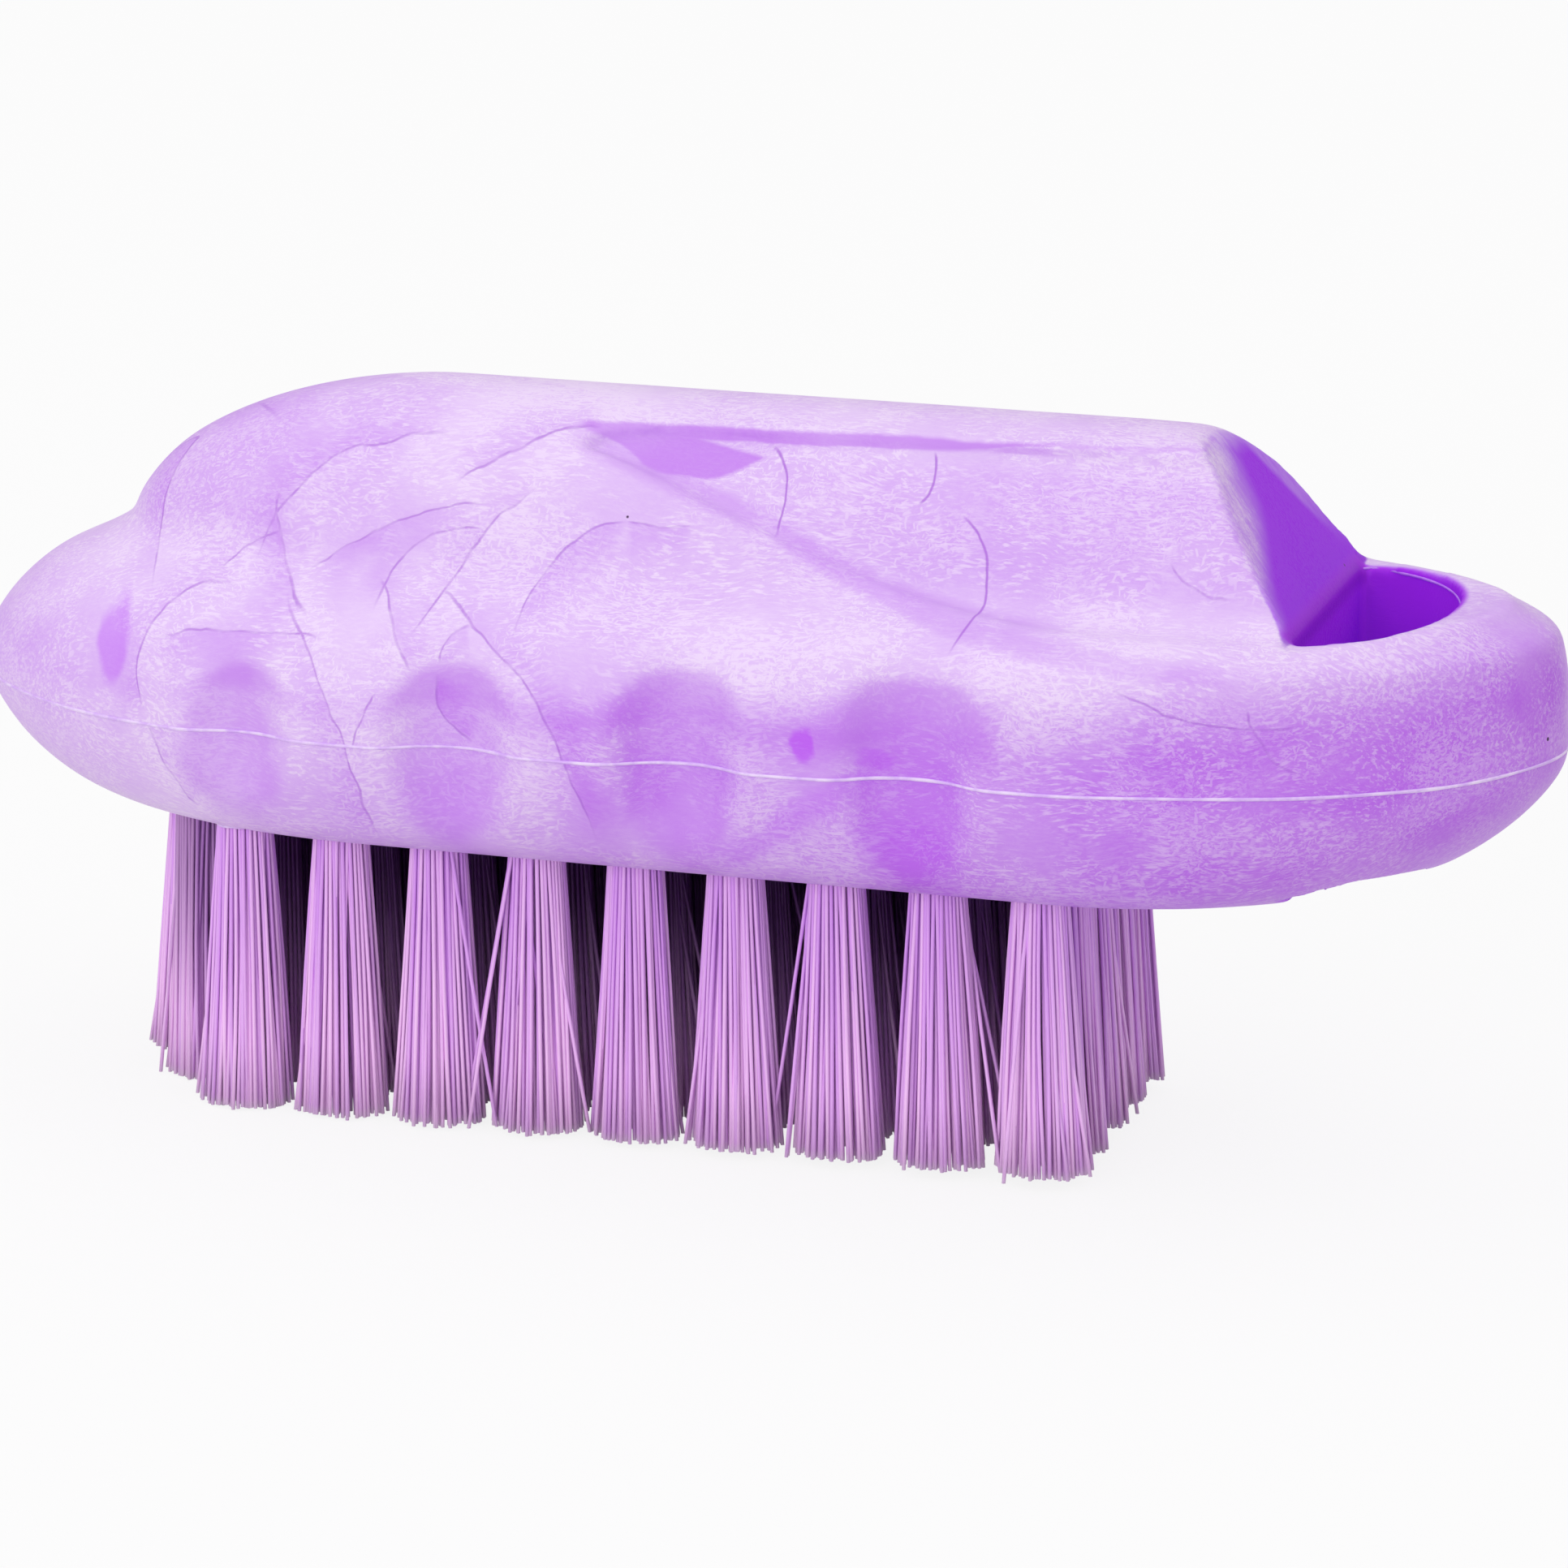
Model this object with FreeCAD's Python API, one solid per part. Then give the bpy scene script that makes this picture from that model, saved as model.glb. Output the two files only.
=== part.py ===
import FreeCAD, Part
import math
import os

# A hand and nail brush: one moulded body with a grip hump and a hanging loop,
# and bristle tufts pinned into blind holes in its flat underside by wire anchors.
# X runs along the brush with the loop at +X, Z is up, and the bristle tips stand on Z = 0.
# All lengths are in millimetres and all angles in degrees.

Vector = FreeCAD.Vector

# Overall body
body_length = 111.0
body_width = 37.8
bristle_length = 20.2
lower_rise = 8.8
shoulder_rise = 9.2
hump_rise = 11.4

# How far the skin draws in from the widest level, below it and above it
lower_side_draw = 6.0
lower_left_draw = 11.0
lower_right_draw = 13.0
lower_left_power = 0.8
lower_right_power = 0.7
upper_side_draw = 8.5
upper_left_draw = 12.2
loop_side_draw = 3.8
loop_tip_draw = 2.6
left_round_power = 0.8
left_bulge_share = 0.50
right_bulge_share = 0.40
flank_bulge_share = 0.60
round_steps = 6
shoulder_end_angle = 66.0

# Grip hump
hump_half_width = 11.5
dome_inset = 34.0
dome_reach = 22.8
dome_round_power = 1.1
hump_end_inset = 14.5
hump_tail = 10.0
hump_start_angle = 18.0
hump_end_angle = 86.0
foot_left_draw = 6.1
foot_right_draw = 2.9
foot_left_inset = 9.6
foot_right_inset = 2.2

# Slanted end of the hump and the hanging hole below it
slant_run = 8.1
loop_length = 16.1
hole_half_width = 10.6
hole_reach = 8.6
loop_rise = 18.0
loop_tip_rise = 19.8

# Thumb recess on the near side of the hump
recess_lean = 34.0
recess_yaw = 0.8
recess_floor_x = 36.0
recess_floor_y = 8.0
recess_floor_rise = 22.0
recess_shelf_rise = 18.0
recess_shelf_climb = 8.0
recess_shelf_y = 13.5
recess_corner_y = 10.6
recess_bend_y = 9.8
recess_bend_rise = 20.5
recess_waist_y = 7.9
recess_waist_rise = 24.0
recess_crown_y = 3.4
recess_crown_rise = 28.0
recess_bend_share = 0.6
recess_flare = 45.0
recess_nose_x = -8.2
recess_nose_rise = 25.9
recess_top_x = 1.0
recess_top_rise = 27.0
recess_top_end_rise = 28.2
recess_cheek_x = 2.5
recess_cheek_rise = 23.9
recess_belly_x = 9.0
recess_belly_rise = 18.0
recess_foot_x = 33.0
recess_foot_rise = 16.5

# Finger hollows along each side
hollow_count = 4
hollow_pitch = 15.7
hollow_first = -31.1
hollow_depth = 1.7
hollow_radius = 7.0
hollow_edge_radius = 3.5

# Bristle field
row_count = 5
column_count = 9
row_pitch = 5.18
column_pitch = 7.0
field_centre = -5.1
arc_side_step = 5.1
arc_middle_step = 7.5

# Tufts and their holes
hole_diameter = 3.9
hole_depth = 8.0
tuft_clearance = 0.05
tip_fill_share = 0.9
tip_splay_share = 0.012

# Wire anchors
anchor_thickness = 0.4
anchor_height = 1.6
anchor_bite = 0.35
anchor_floor_gap = 0.6

# One overrun for every cut that passes through the body
overrun = 5.0

# Levels and half sizes that follow from the driving sizes
half_length = body_length / 2
half_width = body_width / 2
dome_centre = dome_inset - half_length
hump_straight_end = half_length - hump_end_inset
hole_wall = half_length - loop_length
slant_top = hole_wall - slant_run
straight_left = hollow_first + hollow_pitch / 2
straight_right = straight_left + hollow_pitch * (hollow_count - 1)
bottom_level = bristle_length
widest_level = bottom_level + lower_rise
hump_base_level = widest_level + shoulder_rise
crest_level = hump_base_level + hump_rise
loop_level = bottom_level + loop_rise
loop_tip_level = bottom_level + loop_tip_rise
hole_radius = hole_diameter / 2
tuft_radius = hole_radius - tuft_clearance
hole_floor = bottom_level + hole_depth
anchor_top = hole_floor - anchor_floor_gap
anchor_bottom = anchor_top - anchor_height


def curve(start, first_handle, second_handle, end):
    """A cubic edge from start to end, leaving and arriving along its handles."""
    bezier = Part.BezierCurve()
    bezier.setPoles([start, first_handle, second_handle, end])
    return bezier.toShape()


def part_way(start, end, share):
    """The point that lies the given share of the way from start to end."""
    return start + (end - start) * share


def outline(level, left_width, right_width, left, right, straight_left, straight_right):
    """A closed level outline: two straight sides joined by a rounded end at each tip."""
    near_left = Vector(straight_left, -left_width, level)
    near_right = Vector(straight_right, -right_width, level)
    far_left = Vector(straight_left, left_width, level)
    far_right = Vector(straight_right, right_width, level)
    left_tip = Vector(left, 0, level)
    right_tip = Vector(right, 0, level)

    def quarter(side, tip, tip_share):
        corner = Vector(tip.x, side.y, level)
        side_handle = part_way(side, corner, flank_bulge_share)
        tip_handle = part_way(tip, corner, tip_share)
        return curve(side, side_handle, tip_handle, tip)

    edges = [
        Part.makeLine(near_left, near_right),
        quarter(near_right, right_tip, right_bulge_share),
        quarter(far_right, right_tip, right_bulge_share),
        Part.makeLine(far_right, far_left),
        quarter(far_left, left_tip, left_bulge_share),
        quarter(near_left, left_tip, left_bulge_share),
    ]
    return Part.Wire(Part.__sortEdges__(edges))


def slab_outline(level, left_width, right_width, left, right):
    """The outline of the slab at one level, straight between the outer hollows."""
    return outline(level, left_width, right_width, left, right, straight_left, straight_right)


def lower_outlines():
    """Outlines from the flat underside up to the widest level."""
    wires = []
    for step in range(round_steps + 1):
        angle = math.radians(90 - 90 * step / round_steps)
        level = widest_level - lower_rise * math.sin(angle)
        share = 1 - math.cos(angle)
        width = half_width - lower_side_draw * share
        left = -half_length + lower_left_draw * share ** lower_left_power
        right = half_length - lower_right_draw * share ** lower_right_power
        wires.append(slab_outline(level, width, width, left, right))
    return wires


def shoulder_outlines():
    """Outlines above the widest level: softly rounded at the left, upright around the loop."""
    wires = []
    for step in range(1, round_steps):
        angle = math.radians(shoulder_end_angle * step / (round_steps - 1))
        level = widest_level + shoulder_rise * math.sin(angle)
        soft_share = 1 - math.cos(angle)
        upright_share = soft_share ** 2
        left_width = half_width - upper_side_draw * soft_share
        right_width = half_width - loop_side_draw * upright_share
        left = -half_length + upper_left_draw * soft_share ** left_round_power
        right = half_length - loop_tip_draw * upright_share
        wires.append(slab_outline(level, left_width, right_width, left, right))
    return wires


def foot_outline():
    """The outline where the shoulders turn up into the hump."""
    left_width = half_width - foot_left_draw
    right_width = half_width - foot_right_draw
    left = -half_length + foot_left_inset
    right = half_length - foot_right_inset
    return slab_outline(hump_base_level, left_width, right_width, left, right)


def hump_outlines():
    """Outlines from above the foot of the hump to its crest."""
    wires = []
    for step in range(round_steps + 1):
        turn = (hump_end_angle - hump_start_angle) * step / round_steps
        angle = math.radians(hump_start_angle + turn)
        level = hump_base_level + hump_rise * math.sin(angle)
        width = hump_half_width * math.cos(angle)
        left = dome_centre - dome_reach * math.cos(angle) ** dome_round_power
        right = hump_straight_end + hump_tail * math.cos(angle)
        wires.append(outline(level, width, width, left, right, dome_centre, hump_straight_end))
    return wires


def body_skin():
    """The outer form of the moulding, before anything is cut from it."""
    wires = lower_outlines() + shoulder_outlines() + [foot_outline()] + hump_outlines()
    return Part.makeLoft(wires, True, False)


def prism(points, direction):
    """A solid pushed from a closed run of straight edges."""
    return Part.Face(Part.makePolygon(points + points[:1])).extrude(direction)


def slant_cutter():
    """Clears the hump off the loop and leaves the slanted end face."""
    slope = (hole_wall - slant_top) / (crest_level - loop_level)
    top_level = crest_level + overrun
    near_side = -half_width - overrun
    right = half_length + overrun
    points = [
        Vector(hole_wall, near_side, loop_level),
        Vector(slant_top - slope * overrun, near_side, top_level),
        Vector(right, near_side, top_level),
        Vector(right, near_side, loop_tip_level),
    ]
    return prism(points, Vector(0, body_width + overrun * 2, 0))


def hole_cutter():
    """The D-shaped hanging hole, flat toward the bristles."""
    start = bottom_level - overrun
    near = Vector(hole_wall, -hole_half_width, start)
    far = Vector(hole_wall, hole_half_width, start)
    tip = Vector(hole_wall + hole_reach, 0, start)
    edges = [Part.makeLine(far, near)]
    for side in (near, far):
        corner = Vector(tip.x, side.y, start)
        side_handle = part_way(side, corner, flank_bulge_share)
        tip_handle = part_way(tip, corner, flank_bulge_share)
        edges.append(curve(side, side_handle, tip_handle, tip))
    face = Part.Face(Part.Wire(Part.__sortEdges__(edges)))
    return face.extrude(Vector(0, 0, crest_level - start + overrun))


def recess_sweep():
    """The reach of the recess: outside a rounded floor that bends out into a shelf."""
    climb = math.tan(math.radians(recess_shelf_climb))
    outside = half_width + overrun

    def section_point(y, rise):
        return Vector(0, -y, bottom_level + rise)

    crown = section_point(recess_crown_y, recess_crown_rise)
    waist = section_point(recess_waist_y, recess_waist_rise)
    bend = section_point(recess_bend_y, recess_bend_rise)
    corner = section_point(recess_corner_y, recess_shelf_rise)
    shelf = section_point(recess_shelf_y, recess_shelf_rise + climb * (recess_shelf_y - recess_corner_y))
    shelf_end = section_point(outside, recess_shelf_rise + climb * (outside - recess_corner_y))
    top_outside = Vector(0, -outside, crest_level + overrun)
    top = Vector(0, crown.y, crest_level + overrun)
    bend_handle = part_way(bend, corner, recess_bend_share)
    shelf_handle = part_way(shelf, corner, recess_bend_share)
    edges = [
        Part.Arc(crown, waist, bend).toShape(),
        curve(bend, bend_handle, shelf_handle, shelf),
        Part.makeLine(shelf, shelf_end),
        Part.makeLine(shelf_end, top_outside),
        Part.makeLine(top_outside, top),
        Part.makeLine(top, crown),
    ]
    face = Part.Face(Part.Wire(Part.__sortEdges__(edges)))
    face.translate(Vector(-body_length, 0, 0))
    sweep = face.extrude(Vector(body_length * 2, 0, 0))
    sweep.rotate(Vector(0, -recess_floor_y, 0), Vector(0, 0, 1), recess_yaw)
    sweep.translate(Vector(recess_floor_x, 0, 0))
    return sweep


def recess_outline(gap):
    """The outline of the recess at a gap above its floor, flaring at the nose and the top."""
    lean = math.radians(recess_lean)
    up_floor = Vector(0, math.sin(lean), math.cos(lean))
    outward = Vector(0, -math.cos(lean), math.sin(lean))
    flare = gap * math.tan(math.radians(recess_flare))
    start = Vector(0, -recess_floor_y, bottom_level + recess_floor_rise) + outward * gap

    def floor_point(x, rise):
        return start + up_floor * ((rise - recess_floor_rise) / math.cos(lean)) + Vector(x, 0, 0)

    left = Vector(-flare, 0, 0)
    up = up_floor * flare
    right_x = half_length + overrun
    nose = floor_point(recess_nose_x, recess_nose_rise) + left
    brow = floor_point(recess_nose_x, recess_top_rise) + left + up
    top = floor_point(recess_top_x, recess_top_rise) + up
    top_right = floor_point(right_x, recess_top_end_rise) + up
    cheek = floor_point(recess_cheek_x, recess_cheek_rise) + left
    belly = floor_point(recess_belly_x, recess_belly_rise) + left
    foot = floor_point(recess_foot_x, recess_foot_rise) + left
    foot_right = floor_point(right_x, recess_foot_rise)
    edges = [
        curve(nose, cheek, belly, foot),
        Part.makeLine(foot, foot_right),
        Part.makeLine(foot_right, top_right),
        Part.makeLine(top_right, top),
        curve(top, part_way(top, brow, flank_bulge_share), part_way(nose, brow, flank_bulge_share), nose),
    ]
    return Part.Wire(Part.__sortEdges__(edges))


def recess_cutter():
    """The thumb recess in the near flank of the hump."""
    pocket = Part.makeLoft([recess_outline(-overrun), recess_outline(overrun)], True, True)
    return recess_sweep().common(pocket)


def hollow_centres():
    """The upright axes of the finger hollows, on both flanks."""
    reach = half_width + hollow_radius - hollow_depth
    centres = []
    for number in range(hollow_count):
        x = hollow_first + hollow_pitch * number
        centres.append(Vector(x, -reach, 0))
        centres.append(Vector(x, reach, 0))
    return centres


def on_hollow_wall(point, centre):
    """Whether a point lies on the wall of the hollow with this axis."""
    gap = math.hypot(point.x - centre.x, point.y - centre.y) - hollow_radius
    return abs(gap) < Part.Precision.approximation() * hollow_radius


def hollow_flanks(shape):
    """The body with its finger hollows cut and their rims rounded over."""
    low = Vector(0, 0, bottom_level - overrun)
    height = crest_level - low.z + overrun
    cutters = [Part.makeCylinder(hollow_radius, height, centre + low) for centre in hollow_centres()]
    shape = shape.cut(cutters)
    rims = []
    for edge in shape.Edges:
        first, last = edge.ParameterRange
        points = [edge.valueAt(first), edge.valueAt((first + last) / 2)]
        if any(all(on_hollow_wall(point, centre) for point in points) for centre in hollow_centres()):
            rims.append(edge)
    return shape.makeFillet(hollow_edge_radius, rims)


def tuft_places():
    """The node name and the place of every tuft, row by row and then the arc at the left end."""
    places = []
    middle_row = (row_count - 1) / 2
    middle_column = (column_count - 1) / 2
    for row in range(row_count):
        for column in range(column_count):
            x = field_centre + (column - middle_column) * column_pitch
            y = (row - middle_row) * row_pitch
            places.append((f"row_{row + 1}", f"tuft_row_{row + 1}_column_{column + 1}", x, y))
    first_column = field_centre - middle_column * column_pitch
    arc_steps = [arc_side_step, arc_middle_step, arc_side_step]
    for number, arc_step in enumerate(arc_steps):
        y = (number - (len(arc_steps) - 1) / 2) * row_pitch
        places.append(("arc", f"tuft_arc_{number + 1}", first_column - arc_step, y))
    return places


def tuft_hole(x, y):
    """The blind hole for one tuft."""
    height = hole_depth + overrun
    return Part.makeCylinder(hole_radius, height, Vector(x, y, bottom_level - overrun))


def anchor(x, y):
    """A flat wire staple laid across one hole, its ends biting into the hole's wall."""
    length = hole_diameter + anchor_bite * 2
    corner = Vector(x - length / 2, y - anchor_thickness / 2, anchor_bottom)
    return Part.makeBox(length, anchor_thickness, anchor_height, corner)


def room_along(x, y, places):
    """How far one tuft stands from its nearest neighbour in the same row."""
    row = [other_x for group, name, other_x, other_y in places if abs(other_y - y) < row_pitch / 2]
    return min(abs(other_x - x) for other_x in row if other_x != x)


def oval(half_x, half_y, place):
    """A closed oval edge lying level around a place."""
    shaped = FreeCAD.Matrix()
    shaped.scale(half_x, half_y, 1)
    shaped.move(place)
    return Part.Wire(Part.Circle().toShape().transformGeometry(shaped))


def tuft(x, y, places):
    """One tuft: a straight root in its hole, fanned out to a trimmed tip that nearly meets its neighbours."""
    tip = Vector(x + (x - field_centre) * tip_splay_share, y + y * tip_splay_share, 0)
    tip_half_x = room_along(x, y, places) / 2 * tip_fill_share
    tip_half_y = row_pitch / 2 * tip_fill_share
    sections = [
        oval(tip_half_x, tip_half_y, tip),
        oval(tuft_radius, tuft_radius, Vector(x, y, bottom_level)),
        oval(tuft_radius, tuft_radius, Vector(x, y, hole_floor)),
    ]
    return Part.makeLoft(sections, True, True).cut(anchor(x, y))


def body(places):
    """The moulded body with every hole and recess cut."""
    shape = body_skin().cut(slant_cutter())
    shape = shape.cut(recess_cutter())
    shape = hollow_flanks(shape)
    shape = shape.cut(hole_cutter())
    shape = shape.cut([tuft_hole(x, y) for group, name, x, y in places])
    return shape.cut([anchor(x, y) for group, name, x, y in places])


def export(shape, node):
    shape.exportStep(os.path.join("parts", node + ".step"))


def build():
    os.makedirs("parts", exist_ok=True)
    places = tuft_places()
    export(body(places), "brush_body")
    groups = {}
    for group, name, x, y in places:
        export(tuft(x, y, places), name)
        groups.setdefault(group, []).append(anchor(x, y))
    for group, anchors in groups.items():
        export(Part.makeCompound(anchors), "anchors_" + group)


build()
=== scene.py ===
import bmesh
import bpy
import math
import random
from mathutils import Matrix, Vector, geometry, noise


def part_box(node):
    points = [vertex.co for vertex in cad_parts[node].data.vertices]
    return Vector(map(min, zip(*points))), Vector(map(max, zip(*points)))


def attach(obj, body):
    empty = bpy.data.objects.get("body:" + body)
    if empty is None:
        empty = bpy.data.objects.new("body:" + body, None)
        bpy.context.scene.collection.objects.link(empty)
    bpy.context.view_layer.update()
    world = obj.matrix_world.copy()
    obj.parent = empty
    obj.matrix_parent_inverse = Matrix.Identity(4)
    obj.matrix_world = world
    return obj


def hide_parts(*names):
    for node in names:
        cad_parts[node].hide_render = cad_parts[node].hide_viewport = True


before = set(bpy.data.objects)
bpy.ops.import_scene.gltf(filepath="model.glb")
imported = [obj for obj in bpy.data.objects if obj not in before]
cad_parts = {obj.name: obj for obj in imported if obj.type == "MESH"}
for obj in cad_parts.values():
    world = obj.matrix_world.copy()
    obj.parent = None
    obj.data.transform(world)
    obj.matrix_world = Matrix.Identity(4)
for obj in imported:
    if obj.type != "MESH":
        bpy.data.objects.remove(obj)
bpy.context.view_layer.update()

# A moulded nail brush: the marbled body with softened edges, its witness line,
# and bristle tufts made of single filaments. Lengths in the scene are in metres.
mm = 0.001

# Levels and places that come from the frame
body_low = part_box("brush_body")[0]
underside = body_low.z
tuft_names = sorted(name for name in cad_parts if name.startswith("tuft_"))
anchor_names = sorted(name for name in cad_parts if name.startswith("anchors_"))

# Body skin
skin_voxel = 0.32 * mm
weld_distance = 0.001 * mm
smoothing_factor = 0.5
skin_smoothing_rounds = 6
rounding_rounds = 120

# Where the edge at the top of the slanted face is rounded: fully above the high level, less below it
round_start = 26.0 * mm
round_end = 42.0 * mm
round_near = -3.0 * mm
round_low = underside + 19.0 * mm
round_high = underside + 25.0 * mm
lower_rounding_share = 0.15

# Where the hanging hole's lower mouth and the thumb recess's lip are rounded a little
hole_mouth_start = 33.0 * mm
hole_mouth_top = underside + 5.0 * mm
mouth_rounding_share = 0.06
lip_start = -13.0 * mm
lip_end = 37.0 * mm
lip_low = underside + 15.5 * mm
lip_high = underside + 26.5 * mm
lip_rounding_share = 0.25

# Lengths over which the rounding sets in
long_blend = 3.0 * mm
short_blend = 2.0 * mm
lip_blend = 1.5 * mm

# Witness line around the widest level, and the faint line inside the hanging hole
witness_level = underside + 8.65 * mm
witness_climb = 0.013
witness_half_height = 0.13 * mm
witness_proud = 0.15 * mm
rim_line_level = underside + 17.8 * mm
rim_line_start = 42.0 * mm
rim_line_half_height = 0.10 * mm
rim_line_proud = 0.10 * mm
line_seat = 0.25 * mm
line_shoulder = 0.8
line_shoulder_rise = 0.3
line_wave = 0.16 * mm
line_wave_length = 9.0 * mm
line_swell = 0.35
line_swell_length = line_wave_length * 0.4
line_step = 0.6 * mm

# Burrs around the mouths of the tuft holes. The cross-section gives shares of the width outward
# and upward, and of the ragged drop.
burr_radius = 1.98 * mm
burr_width = 0.16 * mm
burr_drop = 0.30 * mm
burr_patch = 1.1 * mm
burr_average = 0.25
burr_least = 0.08
burr_steps = 40
burr_section = [(-1.0, 1.0, 0.0), (-0.3, 0.0, 1.0), (0.6, 0.0, 0.5), (1.6, 1.0, 0.0)]

# Filaments
filament_radius = 0.135 * mm
filament_sides = 5
filament_rings = 6
filament_anchorage = 2.0 * mm
outward_power = 0.5
least_reach = 0.96
most_reach = 1.01
turn_scatter = 0.03
tip_scatter = 0.14 * mm
bow_scatter = 0.07 * mm
trim_scatter = 0.30 * mm
trim_fall = 0.8 * mm
stray_share = 0.05
stray_reach = 1.4 * mm
stray_side_share = 0.5
ring_overlap_share = 0.05
# Depth into the bristle field over which the inner tufts' painted shade sets in
field_shade_depth = 5.0 * mm
level_tolerance = 0.01 * mm

# Camera, found from the outline of the object in the photograph
camera_azimuth = 17.05
camera_elevation = 16.0
camera_distance = 448.9 * mm
camera_target = Vector((2.09 * mm, 0, underside + 2.64 * mm))
camera_clip_start = 10 * mm
sensor_width = 36.0
lens_length = 151.83

# Studio: white light from all around, one soft lamp and a pale floor
white = (1, 1, 1, 1)
sky_strength_low = 0.28
sky_strength_high = 1.25
lamp_place = Vector((-0.28, -1.09, 0.42))
lamp_aim = Vector((0, 0, 0.03))
lamp_width = 0.8
lamp_height = 0.5
lamp_power = 4.0
floor_reach = 3.0
floor_white = (0.80, 0.79, 0.80, 1)
floor_roughness = 0.9
floor_gloss = 0.1
floor_glow_share = 0.86

# From here to the functions, lengths without a unit are in millimetres, along the brush and up
# from the body's underside. A span is the two ends of a range, followed by the values at those
# ends where they aren't 0 and 1. A warp is the size of its swirls and their reach. A noise is
# its size, followed by its detail, roughness and distortion.

# Colours of the body
deep_violet = (0.50, 0.14, 0.82, 1)
pearl_lilac = (0.82, 0.66, 0.92, 1)
bare_violet = (0.37, 0.02, 0.86, 1)
hole_violet = (0.43, 0.028, 0.84, 1)
# Painted light: a lighter violet toward the top of the hole's flat wall
wall_painted_light_violet = (0.48, 0.034, 0.90, 1)
# Painted shade along the crease between the slanted face and the flat wall
crease_shade_violet = (0.25, 0.012, 0.55, 1)
smudge_violet = (0.50, 0.08, 0.88, 1)
vein_violet = (0.40, 0.12, 0.68, 1)
speck_black = (0.05, 0.02, 0.07, 1)

# Surface of the body
body_roughness = (0.0, 1.0, 0.38, 0.50)
body_gloss = 0.15
body_bump = 0.25
body_bump_depth = 0.12 * mm
fleck_height = 0.25

# Share of pearl along and up the body
pearl_along = (54.0, -50.0, 0.11, 0.78)
pearl_rise = (9.6, 18.1)
pearl_top = 0.86
loop_lift = (22.0, 46.0, 0.0, 2.0)
end_lift = (43.0, 53.0, 0.0, 1.8)
left_end_shade = (-38.0, -53.0, 0.0, 0.22)
dome_along = (-16.0, -36.0)
dome_rise = (16.6, 21.6)
dome_shade = 0.34
# Painted shade on the floor of the thumb recess
recess_floor_along = (0.0, 12.0)
recess_floor_rise = (18.6, 21.6)
recess_floor_top = (27.6, 26.1)
recess_floor_painted_shade = 0.18
swirl_warp = (26.0, 9.0)
swirl_noise = (17.0, 3.0, 0.55, 0.4)
swirl_share = (0.32, 0.68, -0.12, 0.12)

# The near side, the shift of the flow fronts along the far side, and the warps of both flanks
near_side = (1.0, -1.0)
far_shift = (-3.0, 3.0, 0.0, 9.0)
flank_warps = [(6.0, 0.8), (1.5, 0.16)]

# Flow fronts: start, middle and end of each, and the side that is darker (+1 outside its arc, 0 neither)
flow_fronts = [
    ((-27.6, 18.2), (-21.8, 21.7), (-15.4, 23.3), -1),
    ((-30.3, 21.7), (-26.9, 25.2), (-19.2, 26.8), 1),
    ((-30.3, 21.7), (-29.5, 19.2), (-26.6, 16.2), 1),
    ((-21.4, 18.1), (-19.6, 20.4), (-15.5, 21.4), 1),
    ((-21.4, 17.8), (-19.8, 16.1), (-18.2, 13.6), 1),
    ((-17.5, 17.7), (-15.8, 20.6), (-12.1, 24.7), 1),
    ((-16.3, 25.6), (-13.6, 27.0), (-8.8, 28.0), 1),
    ((-11.3, 18.0), (-9.9, 20.6), (-5.7, 22.5), -1),
    ((-5.7, 22.5), (-3.3, 22.7), (-0.9, 22.8), -1),
    ((-37.9, 9.8), (-37.6, 14.7), (-32.1, 17.2), 1),
    ((-37.4, 13.6), (-31.2, 15.0), (-26.0, 14.9), -1),
    ((-25.9, 14.3), (-23.3, 9.9), (-21.0, 1.6), -1),
    ((-14.7, 16.7), (-9.5, 12.5), (-5.7, 2.8), 1),
    ((-16.2, 14.1), (-16.0, 15.7), (-14.7, 16.7), -1),
    ((-16.6, 13.0), (-16.2, 10.6), (-14.1, 8.9), -1),
    ((-37.3, 8.0), (-36.1, 5.0), (-34.3, 2.4), -1),
    ((-39.9, 18.7), (-39.3, 23.8), (-32.5, 27.0), 1),
    ((-33.5, 18.4), (-32.1, 19.7), (-29.8, 20.6), 0),
    ((-21.9, 8.1), (-21.4, 10.2), (-20.6, 11.7), 0),
    ((30.8, 15.4), (35.2, 13.9), (41.2, 14.0), 0),
    ((38.3, 13.3), (38.9, 12.4), (41.4, 10.9), 0),
    ((31.9, 21.8), (33.2, 21.1), (35.6, 20.6), 0),
]
vein_width = 0.12
vein_patch = 2.2
vein_strength = (0.35, 0.6, 0.25, 0.62)
front_shade_rise = (-0.1, 0.15)
front_shade_fall = (0.2, 3.2, 1.0, 0.0)
front_shade = 0.18

# Lines along an arc: where they end and where they are full, as shares of its half angle, and
# their full core as a share of the width. Long bisectors cross at the arc's centre.
arc_end_share = 1.05
arc_full_share = 0.7
line_core_share = 0.2
bisector_reach = 1000

# Weld cracks: narrow dark lines that shade neither side
weld_cracks = [
    ((16.8, 24.2), (18.9, 21.1), (18.6, 18.1)),
    ((13.9, 27.5), (14.4, 26.2), (13.7, 24.9)),
    ((2.7, 27.3), (4.3, 25.2), (4.5, 23.0)),
]
crack_width = 0.13
crack_strength = 0.75

# Violet smudges: middle, half length, half height and strength, and one long faint streak
smudges = [
    ((8.9, 10.9), 1.0, 1.7, 0.72),
    ((13.4, 10.0), 1.5, 1.0, 0.42),
    ((-40.5, 13.0), 1.5, 3.0, 0.48),
]
smudge_streak = ((13.4, 9.2), (7.8, 5.4), (2.5, 1.6))
smudge_streak_width = 1.5
smudge_streak_strength = 0.34
smudge_warp = (2.0, 0.7)
oval_core_share = 0.55

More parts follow.
